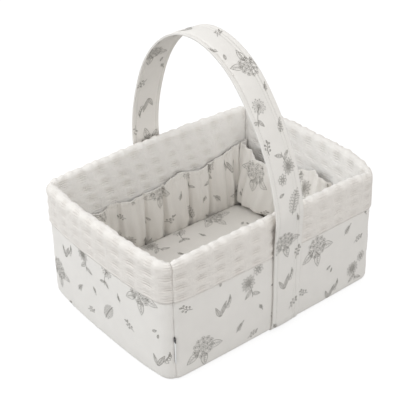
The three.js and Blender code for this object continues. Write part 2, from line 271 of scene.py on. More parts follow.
def two_tones(material, pattern, low, high, places=(0.0, 1.0)):
    """Mixes two colours by a pattern."""
    mixed = add_node(material, "ValToRGB", "Color", {"Fac": pattern})
    for stop, place, colour in zip(mixed.node.color_ramp.elements, places, (low, high)):
        stop.position = place
        stop.color = tuple(colour) + (1,)
    return mixed


def cotton_weave(name, colour):
    """Plain woven cotton: fine crossing threads, small slubs and a faint unevenness of tone."""
    weave = new_surface(name, {
        "Roughness": 0.92, "Specular IOR Level": 0.2, "Sheen Weight": 0.12, "Sheen Roughness": 0.5,
    })
    cut = add_node(weave, "UVMap", "UV", uv_map="cut")
    crossing = {}
    for k, turned_by in enumerate((0, math.pi / 2)):
        way = add_node(weave, "Mapping", "Vector", {"Rotation": (0, 0, turned_by), "Vector": cut})
        yarn = {"Scale": 520, "Distortion": 1.2, "Detail": 1, "Vector": way}
        crossing[k] = add_node(weave, "TexWave", "Fac", yarn)
    crossed = add_node(weave, "Math", 0, crossing, operation="MAXIMUM")
    slubs = add_node(weave, "TexNoise", "Fac", {"Scale": 260, "Detail": 4, "Vector": cut})
    relief = add_node(weave, "Math", 0, {0: crossed, 1: slubs}, operation="ADD")
    bump = {"Strength": 0.35, "Distance": 0.00025, "Height": relief}
    tone = add_node(weave, "TexNoise", "Fac", {"Scale": 45, "Detail": 5, "Vector": cut})
    darker = [c * 0.965 for c in colour]
    set_surface(weave, {
        "Normal": add_node(weave, "Bump", "Normal", bump),
        "Base Color": two_tones(weave, tone, darker, colour, (0.3, 0.7)),
    })
    return weave


printed_cotton = cotton_weave("printed_cotton", (0.872, 0.845, 0.803))

ink = new_surface("grey_print_ink", {"Roughness": 0.95, "Specular IOR Level": 0.1})
ink_place = add_node(ink, "TexCoord", "Object")
patchy = add_node(ink, "TexNoise", "Fac", {"Scale": 900, "Detail": 3, "Vector": ink_place})
ink_tones = ((0.225, 0.212, 0.19), (0.39, 0.372, 0.34))
set_surface(ink, {"Base Color": two_tones(ink, patchy, *ink_tones, (0.35, 0.7))})

thread = new_surface("sewing_thread", {"Roughness": 0.6, "Sheen Weight": 0.2})
thread_place = add_node(thread, "TexCoord", "Object")
twist = add_node(thread, "TexWave", "Fac", {"Scale": 900, "Vector": thread_place})
thread_tones = ((0.50, 0.48, 0.44), (0.70, 0.68, 0.64))
set_surface(thread, {"Base Color": two_tones(thread, twist, *thread_tones)})


# The print is drawn in millimetres with a pen, stroke by stroke. A stroke is a row of points
# and the width of the pen.
def drawn(points, pen=0.55):
    return [(np.array(points, float), pen)]


def turned(strokes, angle, x=0.0, y=0.0, scale=1.0):
    c, s = math.cos(math.radians(angle)) * scale, math.sin(math.radians(angle)) * scale
    grid = np.array([[c, s], [-s, c]])
    return [(points @ grid + (x, y), pen) for points, pen in strokes]


def arc_line(radius, corners, start=0, end=360):
    a = np.radians(np.linspace(start, end, corners))
    return radius * np.stack([np.cos(a), np.sin(a)], -1)


def leaf(length, width, veins=3):
    """An outlined leaf that points along +x, with a midrib and side veins."""
    t = np.linspace(0, 1, 9)
    side = width / 2 * np.sin(np.pi * t**0.8)
    pen = 0.55 if veins else 0.42
    edge = np.stack([t * length, side], -1)
    strokes = drawn(edge, pen) + drawn(edge * (1, -1), pen)
    if not veins:
        return strokes
    strokes += drawn([(0, 0), (0.85 * length, 0)], 0.4)
    for k in range(veins):
        x = length * (0.2 + 0.5 * k / max(1, veins - 1))
        for sign in (-1, 1):
            strokes += drawn([(x, 0), (x + 0.14 * length, sign * width * 0.28)], 0.35)
    return strokes


def sprig(height, pairs):
    """A bending stem with pairs of narrow leaves and one at the tip."""
    t = np.linspace(0, 1, 9)
    stem = np.stack([height * t, 0.16 * height * np.sin(1.8 * t)], -1)
    strokes = drawn(stem, 0.6)
    for k in range(pairs):
        at = (0.2 + 0.68 * k / pairs) * height
        y = np.interp(at, *stem.T)
        size = height * (0.36 - 0.12 * k / pairs)
        for sign in (-1, 1):
            strokes += turned(leaf(size, size * 0.38, 0), sign * (48 - 6 * k), at, y)
    return strokes + turned(leaf(height * 0.24, height * 0.1, 0), 5, stem[-1, 0], stem[-1, 1])


def fern(height, pairs=8):
    t = np.linspace(0, 1, 12)
    stem = np.stack([height * t, -0.2 * height * t**2], -1)
    strokes = drawn(stem, 0.65)
    for k in range(pairs):
        at = (0.08 + 0.86 * k / pairs) * height
        y = np.interp(at, *stem.T)
        size = height * 0.3 * math.sin(math.pi * (0.25 + 0.7 * k / pairs))
        for sign in (-1, 1):
            blade = leaf(size, size * 0.3, 0)
            strokes += turned(blade, sign * 62 - 18 * k / pairs, at, y)
    return strokes


def daisy(radius, petals=12):
    strokes = drawn(arc_line(radius * 0.3, 13)) + drawn(arc_line(radius * 0.17, 9))
    for k in range(7 if radius > 8 else 0):
        x = radius * 0.26 * (k / 3 - 1)
        h = radius * math.sqrt(max(0.0, 0.075 - (x / radius) ** 2))
        strokes += drawn([(x, -h), (x + 0.2, h)], 0.35)
    for k in range(petals):
        a = 360 * k / petals
        reach = radius * (1 if k % 3 else 0.9)
        t = np.linspace(0, 1, 8)
        side = radius * 2.04 / petals * np.sin(np.pi * t**0.65)
        edge = np.stack([radius * 0.3 + t * (reach - radius * 0.3), side], -1)
        rib = drawn([(radius * 0.4, 0), (reach * 0.8, 0)], 0.35) if radius > 8 else []
        strokes += turned(drawn(edge, 0.45) + drawn(edge * (1, -1), 0.45) + rib, a)
    return strokes


def stem_down(length, bend, leaves):
    t = np.linspace(0, 1, 9)
    line = np.stack([bend * np.sin(2.2 * t), -length * t], -1)
    strokes = drawn(line, 0.65)
    for at, angle, size in leaves:
        place = (bend * math.sin(2.2 * at), -length * at)
        strokes += turned(leaf(size, size * 0.36, 3), angle, *place)
    return strokes


def seed_head(radius):
    """A ball of parachute seeds on short spokes."""
    strokes = drawn(arc_line(radius * 0.14, 9), 0.6)
    for k in range(19):
        a = 360 * k / 19
        reach = radius * (1 - 0.22 * (k % 2))
        spoke = drawn([(radius * 0.14, 0), (reach * 0.82, 0)], 0.35)
        for fan in (-28, 0, 28):
            spoke += turned(drawn([(0, 0), (radius * 0.18, 0)], 0.35), fan, reach * 0.82, 0)
        strokes += turned(spoke, a)
    return strokes


def berry_twig(height):
    t = np.linspace(0, 1, 8)
    stem = np.stack([height * t, 0.1 * height * np.sin(3 * t)], -1)
    strokes = drawn(stem, 0.6)
    for k in range(5):
        at = height * (0.25 + 0.15 * k)
        y = np.interp(at, *stem.T)
        sign = 1 if k % 2 else -1
        end = (at + height * 0.14, y + sign * height * 0.2)
        strokes += drawn([(at, y), end], 0.4)
        berry = drawn(arc_line(height * 0.075, 9))
        berry += drawn(arc_line(height * 0.04, 5, 200, 350), 0.4)
        strokes += turned(berry, 0, *end)
    return strokes + turned(leaf(height * 0.3, height * 0.12, 2), 20, *stem[-1])


def round_head(radius):
    """A mophead flower: a round cluster of small four-petalled florets over three leaves."""
    strokes = []
    for angle in (200, 262, 338):
        from_middle = turned(leaf(radius * 1.25, radius * 0.62, 4), 0, radius * 0.55, 0)
        strokes += turned(from_middle, angle)
    spots = [(0, 0)]
    for ring, count in ((0.42, 6), (0.8, 11)):
        for k in range(count):
            a = 2 * math.pi * (k + 0.5 * ring) / count
            spots.append((radius * ring * math.cos(a), radius * ring * math.sin(a)))
    size = radius * 0.2
    for k, (x, y) in enumerate(spots):
        for petal in range(4):
            loop = arc_line(size * 0.5, 8) + (size * 0.52, 0)
            strokes += turned(drawn(loop, 0.4), 90 * petal + 37 * k, x, y)
        strokes += turned(drawn(arc_line(size * 0.14, 5), 0.45), 0, x, y)
    return strokes


def lily_bells(height):
    """An arching stem with a row of hanging bells."""
    t = np.linspace(0, 1, 12)
    stem = np.stack([height * 0.55 * np.sin(1.9 * t), height * np.sin(1.5 * t) * 0.95], -1)
    strokes = drawn(stem, 0.65)
    for k in range(5):
        at = 0.42 + 0.14 * k
        x, y = [np.interp(at, t, part) for part in stem.T]
        drop = height * 0.1
        w = height * (0.085 - 0.008 * k)
        half = [(0, 0), (-0.8, -0.7), (-1, -1.9), (-0.45, -1.6), (0, -2.0)]
        bell = np.array(half + [(-a, b) for a, b in half[-2::-1]]) * w - (0, drop)
        strokes += turned(drawn([(0, 0), (0, -drop)], 0.4) + drawn(bell, 0.5), 0, x, y)
    strokes += turned(leaf(height * 0.8, height * 0.2, 5), 62, -1.5, 0)
    return strokes + turned(leaf(height * 0.62, height * 0.18, 4), 112, -2.0, 0)


meadow = {
    "mophead": round_head(13),
    "daisies": (
        daisy(9.5) + turned(daisy(6.8, 8), 20, 14.5, 9)
        + stem_down(19, 3, [(0.5, 215, 12), (0.75, 330, 11)])
    ),
    "seed ball": seed_head(9) + stem_down(22, -3, [(0.8, 205, 9), (0.7, 320, 10)]),
    "bells": lily_bells(27),
    "fern": fern(30),
    "sprig": sprig(15, 4),
    "small sprig": sprig(10, 3),
    "berries": berry_twig(16),
    "loose leaf": leaf(8, 3.4),
}
# One repeat of the print, 190 mm wide and 128 mm high: what is drawn, where, its turn and size.
meadow_bolt = ((0.190, 0.128), [
    ("mophead", 32, 28, 12, 1.28), ("daisies", 104, 90, 8, 1.25), ("fern", 146, 14, 66, 1.1),
    ("bells", 60, 62, 0, 1.0), ("seed ball", 158, 92, -10, 1.15),
    ("sprig", 84, 24, 40, 1.0), ("berries", 18, 92, 150, 1.0), ("small sprig", 122, 50, -70, 1.0),
    ("small sprig", 182, 58, 100, 1.0), ("berries", 104, 4, 20, 0.9),
    ("loose leaf", 52, 112, 30, 1.0), ("loose leaf", 60, 105, 75, 0.8),
])


ink_height = 0.00016  # the print and the stitches lie just proud of the cloth


def join_shapes(piece, points, faces, material):
    """Adds print or thread to the piece that it is on."""
    mesh = bpy.data.meshes.new(piece.name + "_extra")
    mesh.from_pydata(points, [], faces)
    mesh.uv_layers.new(name="cut")
    mesh.materials.append(material)
    extra = bpy.data.objects.new(mesh.name, mesh)
    bpy.context.scene.collection.objects.link(extra)
    bpy.ops.object.select_all(action="DESELECT")
    extra.select_set(True)
    piece.select_set(True)
    bpy.context.view_layer.objects.active = piece
    bpy.ops.object.join()


def unit(vectors):
    """Vectors in the same directions, of length 1."""
    return vectors / np.maximum(np.linalg.norm(vectors, axis=-1, keepdims=True), 1e-12)


def lifted(shape, u, v, height):
    """Points of a laid cloth, raised off its right side."""
    d = 0.0003
    here = shape(u, v)
    return here + unit(np.cross(shape(u + d, v) - here, shape(u, v + d) - here)) * height


def way_along(line):
    """Distance of each point of a line from its start, along the line."""
    return np.append(0, np.cumsum(np.linalg.norm(np.diff(line, axis=0), axis=1)))


def read_off(line, way, at):
    """Reads points off a line at some distances along it. The way says how far along each of
    its own points is."""
    return np.stack([np.interp(at, way, part) for part in line.T], -1)


def pen_ribbon(shape, line, pen, height):
    """Points in pairs along both edges of a pen stroke that lies on a cloth."""
    longest_step = 0.0012
    steps = max(2, round(way_along(line)[-1] / longest_step))
    if len(line) < steps:
        line = read_off(line, range(len(line)), np.linspace(0, len(line) - 1, steps))
    way = unit(np.gradient(line, axis=0))
    side = np.stack([-way[:, 1], way[:, 0]], -1) * pen / 2000
    edges = np.stack([line - side, line + side], 1).reshape(-1, 2)
    return lifted(shape, edges[:, 0], edges[:, 1], height).tolist()


def print_on(piece, shape, area, shift, height=ink_height, bolt=meadow_bolt):
    """Prints the repeat on an area of a piece of cloth, given as left, right, foot and top. The
    shift says where on the bolt the piece was cut."""
    left, right, foot, top = area
    (wide, high), plan = bolt
    columns = range(math.floor((left - shift[0]) / wide) - 1, math.ceil((right - shift[0]) / wide) + 1)
    rows = range(math.floor((foot - shift[1]) / high) - 1, math.ceil((top - shift[1]) / high) + 1)
    motif_reach = 0.04
    points, faces = [], []
    for column, row, (kind, x, y, angle, scale) in itertools.product(columns, rows, plan):
        u = shift[0] + column * wide + x / 1000
        v = shift[1] + (row + 0.5 * (column % 2)) * high + y / 1000
        if not (left - motif_reach < u < right + motif_reach):
            continue
        if not (foot - motif_reach < v < top + motif_reach):
            continue
        for line, pen in turned(meadow[kind], angle, 0, 0, scale):
            line = line / 1000 + (u, v)
            line = line[((line > (left, foot)) & (line < (right, top))).all(axis=1)]
            if len(line) < 2:
                continue
            ribbon = pen_ribbon(shape, line, pen, height)
            for k in range(len(points), len(points) + len(ribbon) - 2, 2):
                faces.append((k, k + 1, k + 3, k + 2))
            points += ribbon
    join_shapes(piece, points, faces, ink)


bottom_roll = 0.008
cuff_hem, under_cuff = 0.118, 0.003
print_cloth = 0.0012


def panel_shape(seed):
    def shape(s, v):
        bend = np.clip(v / bottom_roll, 0, math.pi / 2)
        out = bottom_roll * (np.sin(bend) - 1)
        z = bottom_roll * (1 - np.cos(bend)) + np.maximum(0, v - bottom_roll * math.pi / 2)
        gap = distance_round(s, *corner_seams.values())
        puff = 0.0009 * ease(gap / 0.022) * ease(v / 0.03)
        dip = -0.0013 * near(gap, 0.0019)
        drag = 0.0005 * np.sin(v / 0.0071 + seed) * np.exp(-gap / 0.012)
        tuck = -print_cloth * ease((z - cuff_hem + under_cuff) / under_cuff)
        sag = 0.00055 * uneven(s, v, 0.045, seed) * ease(gap / 0.02) * ease(v / 0.02)
        return on_wall(s, z, out + puff + dip + drag + tuck + sag + belly(s, z))

    return shape


panel_top = cuff_hem + under_cuff + bottom_roll * (math.pi / 2 - 1)
print_shifts = {
    "front": (0.031, -0.052), "right": (0.064, -0.020),
    "back": (0.110, -0.081), "left": (0.012, -0.101),
}
for side, (start, end) in wall_spans.items():
    shape = panel_shape(len(side) + start)
    cut = (start, end, 0, panel_top)
    panel = lay_cloth(side + "_printed_panel", printed_cotton, cut, (0.0022, 0.0022), shape)
    thicken(panel, print_cloth)
    printed = (start + 0.0008, end - 0.0008, 0.001, panel_top - 0.004)
    print_on(panel, shape, printed, print_shifts[side])
    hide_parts(side + "_panel")
    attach(panel, "basket")


# Waffle cuff and lining
# One deep strip of puffy cream waffle cloth for each wall. It hangs down the outside to its
# turned hem, rolls softly over the rim, and goes on down the inside as the lining.
wall_depth = 0.0104  # from the printed cloth in to the lining
cuff_proud = 0.0028  # from the printed cloth out to the cuff
rim_roll = (wall_depth + cuff_proud) / 2
rim_shoulder = rim_height - rim_roll
roll_turns = np.radians(np.linspace(0, 180, 19))
cuff_line = np.concatenate([
    [(-0.0004, cuff_hem + 0.0004), (0.0012, cuff_hem - 0.0002), (0.0024, cuff_hem + 0.0008)],
    [(cuff_proud, cuff_hem + 0.0024)],
    np.stack([cuff_proud - rim_roll + rim_roll * np.cos(roll_turns),
              rim_shoulder + rim_roll * np.sin(roll_turns)], -1),
    [(-wall_depth, 0.0072)],
])
cuff_way = way_along(cuff_line)
cuff_cut = cuff_way[-1]
over_rim = 0.058  # this far up the cuff's cloth from its hem is the top of the rim
waffle_cell = (0.0285, 0.0156)
dimple, dimple_depth = (0.0070, 0.0050), 0.0016
line_place, line_height = 0.0124, 0.0005


def waffle_cells(s, v, seed):
    """Where a point lies in its waffle cell, across and along from the cell's middle, with the
    numbers of its column and row. Inside the basket the columns slant a little."""
    inside = ease((v - 0.066) / 0.02)
    slant = -0.35 * (v - 0.075) * inside
    a = (s - slant + 0.0012 * uneven(s, v, 0.04, seed)) / waffle_cell[0]
    b = (v + 0.0008 * uneven(v, s, 0.04, seed + 2)) / (waffle_cell[1] + 0.0018 * inside)
    column, row = np.floor(a), np.floor(b)
    across = (a - column - 0.5) * waffle_cell[0]
    along = (b - row - 0.5) * waffle_cell[1]
    return across, along, column, row


def hollow(s, v, seed):
    """1 in the middle of each soft sunken dimple of the waffle, and 0 round it."""
    across, along, column, row = waffle_cells(s, v, seed)
    mood = 0.8 + 0.2 * np.sin(12.9 * column + 7.3 * row + seed)
    return mood * np.exp(-(np.abs(across / dimple[0]) ** 3) - np.abs(along / dimple[1]) ** 3)


def waffle_relief(s, v, seed):
    """Height of the waffle cloth: columns of dimples, none quite the same, with a pair of raised
    lines between the columns."""
    across = waffle_cells(s, v, seed)[0]
    lines = near(np.abs(across) - line_place, 0.0009)
    puff = 0.0003 * uneven(s, v, 0.011, seed + 5) + 0.0005 * uneven(s, v, 0.032, seed + 7)
    on_rim = near(v - over_rim, 0.013)
    depth = dimple_depth - 0.0006 * on_rim
    return line_height * lines * (1 - on_rim) - depth * hollow(s, v, seed) + puff


def under_strap(s):
    """1 where the handle strap presses on a long wall."""
    pressed_half, front_shift, back_shift = 0.0252, 0.007, 0.0024
    return ease((pressed_half - distance_round(s, front_shift, lap / 2 + back_shift)) / 0.0028)


def cuff_shape(seed):
    def shape(s, v):
        out, z = read_off(cuff_line, cuff_way, v).T
        d = 0.0006
        way = read_off(cuff_line, cuff_way, v + d) - read_off(cuff_line, cuff_way, v - d)
        along_out, along_z = way.T
        length = np.maximum(np.hypot(along_out, along_z), 1e-9)
        gap = distance_round(s, *corner_seams.values())
        outside = ease((0.055 - v) / 0.02)
        relief = waffle_relief(s, v, seed) * ease((v - 0.003) / 0.006) * ease(gap / 0.005)
        relief = relief + 0.0008 * ease(gap / 0.02) - 0.0015 * near(gap, 0.0021)
        relief = relief - 0.0012 * under_strap(s) * outside
        rim = near(v - over_rim, 0.014)
        knuckle = np.cos(4 * math.pi * s / waffle_cell[0] + 1.5 * uneven(s, s, 0.05, seed))
        bumpy = 0.0004 * uneven(s, s, 0.006, seed) + 0.0006 * uneven(s, s, 0.021, seed + 1)
        relief = relief + rim * (bumpy + 0.0006 * knuckle)
        out = out + relief * along_z / length
        z = z - relief * along_out / length
        return on_wall(s, z, out + outside * belly(s, z))

    return shape


waffle_cloth = cotton_weave("waffle_cloth", (0.93, 0.912, 0.883))
woven = waffle_cloth.node_tree.nodes
waffle_cut = woven["UV Map"].outputs["UV"]
# sunken reads the "hollow" attribute, 1 in the middle of each dimple. It makes the ribs stronger
# there, and below it darkens the dimples' colour as painted shade.
sunken = add_node(waffle_cloth, "Attribute", "Fac", attribute_name="hollow")
ribs = add_node(waffle_cloth, "TexWave", "Fac", {
    "Scale": 90, "Distortion": 0.8, "Detail": 1, "Detail Scale": 0.6, "Vector": waffle_cut,
}, bands_direction="Y")
stronger = {0: sunken, 1: 0.5, 2: 0.07}
crinkle = {"Scale": 185, "Detail": 1.5, "Vector": waffle_cut}
rib_height = add_node(waffle_cloth, "Math", 0, {
    0: ribs,
    1: add_node(waffle_cloth, "Math", 0, stronger, operation="MULTIPLY_ADD"),
    2: add_node(waffle_cloth, "TexNoise", "Fac", crinkle),
}, operation="MULTIPLY_ADD")
rib_bump = add_node(waffle_cloth, "Bump", "Normal", {
    "Strength": 0.8, "Distance": 0.0015, "Height": rib_height,
    "Normal": woven["Bump"].outputs["Normal"],
})
# outer_face is 1 on the outside of the cuff and 0 on the lining, fading over the rim. The outside is
# painted a shade darker than the lining: painted shade, so that the lining looks more brightly lit
# than the outside.
outer_face = add_node(waffle_cloth, "MapRange", "Result", {
    "Value": add_node(waffle_cloth, "SeparateXYZ", "Y", {"Vector": waffle_cut}),
    "From Min": 0.050, "From Max": 0.075, "To Min": 1.0, "To Max": 0.0,
})
tint = woven["Color Ramp"].outputs["Color"]
# Painted shade is multiplied into the cloth's colour: a little in each dimple, and more on the outside
# of the cuff.
for amount, colour in ((sunken, (0.94, 0.93, 0.92, 1)), (outer_face, (0.91, 0.884, 0.857, 1))):
    mix = {"Factor": amount, "A": tint, "B": colour}
    tint = add_node(waffle_cloth, "Mix", "Result", mix, data_type="RGBA", blend_type="MULTIPLY")
set_surface(waffle_cloth, {"Normal": rib_bump, "Base Color": tint})

waffle_thick = 0.0014
for side, (start, end) in wall_spans.items():
    seed = len(side) * 1.7
    cut = (start, end, 0, cuff_cut)
    cuff = lay_cloth(side + "_waffle_cuff", waffle_cloth, cut, (0.0016, 0.0014), cuff_shape(seed))
    # How deep in its dimple each point lies, from hollow(), is kept in the "hollow" attribute. The
    # waffle cloth uses it for stronger ribs and for painted shade in the dimples.
    places = np.empty(2 * len(cuff.data.loops))
    cuff.data.uv_layers["cut"].data.foreach_get("uv", places)
    of_loop = hollow(places[0::2], places[1::2], seed)
    sunk = cuff.data.attributes.new("hollow", "FLOAT", "CORNER")
    sunk.data.foreach_set("value", of_loop)
    thicken(cuff, waffle_thick)
    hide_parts(side + "_cuff")
    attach(cuff, "basket")


# Base lining and bottom
# A plain cotton cloth covers the base board inside the basket, and the printed bottom panel
# closes it underneath. Both are cut to the box's rounded plan.
def about_middle(half):
    """Left, right, foot and top of a rectangle with the given half sizes."""
    return (-half[0], half[0], -half[1], half[1])


def rounded_plan(half, radius, height):
    """Places a rectangle of cloth flat, with its corners drawn in to a radius."""
    def shape(u, v):
        x, y = np.abs(u), np.abs(v)
        cx, cy = half[0] - radius, half[1] - radius
        a = np.clip((x - cx) / radius, 0, 1)
        b = np.clip((y - cy) / radius, 0, 1)
        x = np.where((a > 0) & (b > 0), cx + radius * a * np.sqrt(1 - b * b / 2), x)
        y = np.where((a > 0) & (b > 0), cy + radius * b * np.sqrt(1 - a * a / 2), y)
        along_x, along_y = x / half_length, y / half_width
        x = x + short_bow * along_x**2 * (1 - along_y**3)
        y = y + long_bow * along_y**2 * (1 - along_x**3)
        return np.stack([np.sign(u) * x, np.sign(v) * y, height(u, v)], axis=-1)

    return shape


plain_cotton = cotton_weave("plain_cotton", (0.872, 0.848, 0.81))
lining_half, lining_corner, lining_up = (0.1652, 0.1232), 0.0076, 0.0064


def lining_height(u, v):
    return lining_up + 0.0002 * uneven(u, v, 0.03, 3)


lining_shape = rounded_plan(lining_half, lining_corner, lining_height)
lining_cut, lining_cloth = about_middle(lining_half), 0.0010
base_lining = lay_cloth("base_lining_cloth", plain_cotton, lining_cut, (0.006, 0.006), lining_shape)
thicken(base_lining, lining_cloth)
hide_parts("base_lining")
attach(base_lining, "basket")


bottom_half, bottom_corner = (0.1682, 0.1262), 0.0102


def underside(u, v):
    """The bottom lies flat on the table and lifts a little at its sewn edge."""
    edge = np.minimum(bottom_half[0] - np.abs(u), bottom_half[1] - np.abs(v))
    return 0.0007 * (1 - ease(edge / 0.004))


def bottom_shape(u, v):
    return rounded_plan(bottom_half, bottom_corner, underside)(-u, v)


bottom_cut = about_middle(bottom_half)
bottom = lay_cloth("printed_bottom_panel", printed_cotton, bottom_cut, (0.004, 0.004), bottom_shape)
thicken(bottom, print_cloth)
print_on(bottom, bottom_shape, about_middle((0.160, 0.118)), (0.02, 0.03), height=0.0001)
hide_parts("bottom_panel")
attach(bottom, "basket")


# Gathered pockets
# A strip of the printed cotton runs round the inside, gathered on elastic in its turned hem
# and sewn down to the lining at the corners, at the foot and between the pockets, so that it
# stands off in soft pouches with deep folds between them.
pocket_foot = 0.0085
pocket_cloth = 0.0006
gather_depth, ridge_depth = 0.0027, 0.0025
pouch_reach, pouch_rest = 0.0165, 0.0208  # a pouch reaches this far in where it rests on the pad
fullness = {"front": 1.2, "right": 1.3, "back": 1.2, "left": 1.25}
hem_fold = 0.100
hem_roll = 0.00065
hem_turned = 0.0085
wall_middle = {
    "front": 0.0, "right": marks[2] + short_run / 2,
    "back": lap / 2, "left": marks[6] + short_run / 2,
}


def eased_through(places, heights, a):
    """A line through the points that is level at each of them, as a gathered hem is."""
    k = np.clip(np.searchsorted(places, a) - 1, 0, len(places) - 2)
    t = np.clip((a - places[k]) / (places[k + 1] - places[k]), 0, 1)
    return heights[k] + (heights[k + 1] - heights[k]) * (0.5 * t + 0.5 * ease(t))


# Along each wall from its middle, anticlockwise: the folds, how deep the pouches stand, and
# the height of the hem, in millimetres.
pocket_folds = {
    "back": [-159, -91, -53, -7, 27, 70, 85, 159],
    "front": [-159, -104, -61, -30, 12, 55, 88, 159],
    "right": [-117, -84, -56, 24, 117],
    "left": [-117, -96, -30, 8, 62, 90, 117],
}
pocket_stand = {
    "back": [9.5, 12.0, 13.0, 11.5, 12.5, 8.0, 10.5],
    "front": [9.0, 10.0, 9.5, 11.0, 10.0, 9.0, 8.5],
    "right": [9.0, 13.0, 22.0, 33.0],
    "left": [8.0, 20.0, 14.0, 21.0, 12.0, 9.0],
}
pocket_hem = {
    "back": ([-162, -137, -114, -91, -75, -57, -35, -20, -7, 25, 51, 68, 84, 97, 125, 162],
             [121, 117, 110, 105, 101, 104, 111, 106, 100, 99, 97, 101, 103, 98, 104, 120]),
    "front": ([-162, -120, -104, -82, -61, -45, -30, -8, 12, 34, 55, 70, 88, 120, 162],
              [120, 108, 102, 104, 99, 102, 98, 104, 100, 106, 102, 104, 99, 108, 121]),
    "right": ([-120, -100, -84, -64, -42, -31, -12, 24, 52, 79, 90, 104, 120],
              [121, 118, 112, 115, 126, 131, 124, 108, 102, 105, 116, 119, 121]),
    "left": ([-120, -96, -70, -42, -30, -10, 8, 34, 62, 76, 90, 104, 120],
             [121, 112, 106, 114, 122, 116, 110, 104, 112, 108, 114, 118, 121]),
}


def pouches(side, a, up):
    """How far a wall's pouches stand off the lining, at a along the wall from its middle and
    up from the foot, 0, to the hem, 1. They are full, and steep beside the folds."""
    folds = np.array(pocket_folds[side]) / 1000
    stands = np.array(pocket_stand[side]) / 1000
    seed = len(side) * 2.3
    short = side in ("right", "left")
    ends = ease((folds[-1] - np.abs(a)) / 0.03)
    a = a + ends * 0.004 * (up - 0.4) * uneven(a, a, 0.06, seed + 4)
    k = np.clip(np.searchsorted(folds, a) - 1, 0, len(folds) - 2)
    apart = folds[k + 1] - folds[k]
    t = np.clip((a - folds[k]) / apart, 0, 1)
    if side == "right":  # the pouch in the back corner is fullest towards the corner
        t = np.where(k == 3, t**2.1, t)
    from_fold = np.minimum(t, 1 - t) * apart
    groove = 1 - np.exp(-((from_fold / (0.0040 - 0.0018 * up**2)) ** 1.8))
    full = groove * (0.72 + 0.28 * np.sin(math.pi * t**0.8))
    rising = up**0.45 if short else up**0.7
    swell = np.sin(math.pi * (0.12 + (0.70 if short else 0.77) * rising))
    small = np.clip(apart / 0.03, 0.5, 1)
    sway = 1.8 * np.sin(2.6 * up + seed) + 3 * uneven(a, a, 0.05, seed)
    drape = np.sin(2 * math.pi * a / 0.0193 + sway)
    ridges = ridge_depth * drape * np.clip(apart / 0.05, 0.3, 1.2) * ease(up / 0.15)
    return (stands[k] * (0.05 + 0.95 * full) * small + ridges * full) * swell


def pocket_shape(side):
    start, end = wall_spans[side]
    hem_at, hem_high = np.array(pocket_hem[side]) / 1000
    seed = len(side) * 2.3
    inward = {"front": (0, 1), "right": (-1, 0), "back": (0, -1), "left": (1, 0)}[side]
    steep = 2.4 if side in ("right", "left") else 0.72
    places = np.linspace(start, end, 1200)
    stood = pouches(side, places - wall_middle[side], np.full(1200, 0.5))
    way = way_along(np.stack([places, stood], -1))
    cut_places = start + way / way[-1] * (end - start) * fullness[side]

    def shape(u, v):
        s = np.interp(u, cut_places, places)
        a = s - wall_middle[side]
        rise = eased_through(hem_at, hem_high, a) - pocket_foot
        up = np.clip(v / hem_fold, 0, 1)
        beyond = np.maximum(0, v - hem_fold)
        z = pocket_foot + rise * up

        long = 0.16 + 0.09 * uneven(a, a, 0.014, seed + 6)
        deep = gather_depth * (0.65 + 0.35 * uneven(a, a, 0.019, seed + 3))
        gather = np.abs(np.sin(math.pi * a / 0.0062 + 2.5 * uneven(a, a, 0.03, seed))) - 0.62
        gather = gather * deep * np.exp(-(1 - up) / long)
        foot_tucks = 0.0012 * np.sin(2 * math.pi * a / 0.0083 + seed) * np.exp(-up / 0.10)
        crumple = 0.0007 * uneven(a, z * 0.6, 0.013, seed + 1)
        crumple = crumple * ease(up / 0.2) * ease((1 - up) / 0.1)
        casing = -0.0008 * near(v - hem_fold + 0.0075, 0.0008)
        stand = 0.0020 + pouches(side, a, up) + gather + foot_tucks + crumple + casing
        stand = np.maximum(stand, 0.0016)
        stand = 0.0013 + (stand - 0.0013) * ease(up / 0.06 + 0.25)
        resting = pouch_reach + np.maximum(0, z - pouch_rest) * 5
        stand = stand * resting / (stand**6 + resting**6) ** (1 / 6)

        roll = np.clip(beyond / hem_roll, 0, math.pi)
        turned_in = np.maximum(0, beyond - hem_roll * math.pi)
        stand = stand - hem_roll * (1 - np.cos(roll))
        z = z + hem_roll * np.sin(roll) - turned_in

        edge = np.minimum(a - (start - wall_middle[side]), (end - wall_middle[side]) - a)
        room = np.maximum(edge * steep, 0) + 0.0007
        stand = stand * room / (stand**3 + room**3) ** (1 / 3)
        lining = on_wall(s, z, -wall_depth - 0.0004)
        lining[..., 0] += inward[0] * stand
        lining[..., 1] += inward[1] * stand
        return lining

    return shape


pocket_shifts = {
    "front": (0.090, 0.020), "right": (0.020, 0.052),
    "back": (0.043, 0.004), "left": (0.130, 0.081),
}
pocket_high = hem_fold + hem_roll * math.pi + hem_turned
for side, (start, end) in wall_spans.items():
    shape = pocket_shape(side)
    pocket_long = (end - start) * fullness[side]
    cut = (start, start + pocket_long, 0, pocket_high)
    strip = lay_cloth(side + "_gathered_pockets", printed_cotton, cut, (0.0015, 0.0016), shape)
    strip.data.flip_normals()
    thicken(strip, pocket_cloth)
    printed = (start + 0.003, start + pocket_long - 0.003, 0.010, hem_fold - 0.001)
    print_on(strip, shape, printed, pocket_shifts[side], height=-ink_height)
    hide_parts(side + "_pocket", side + "_pocket_elastic")
    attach(strip, "basket")


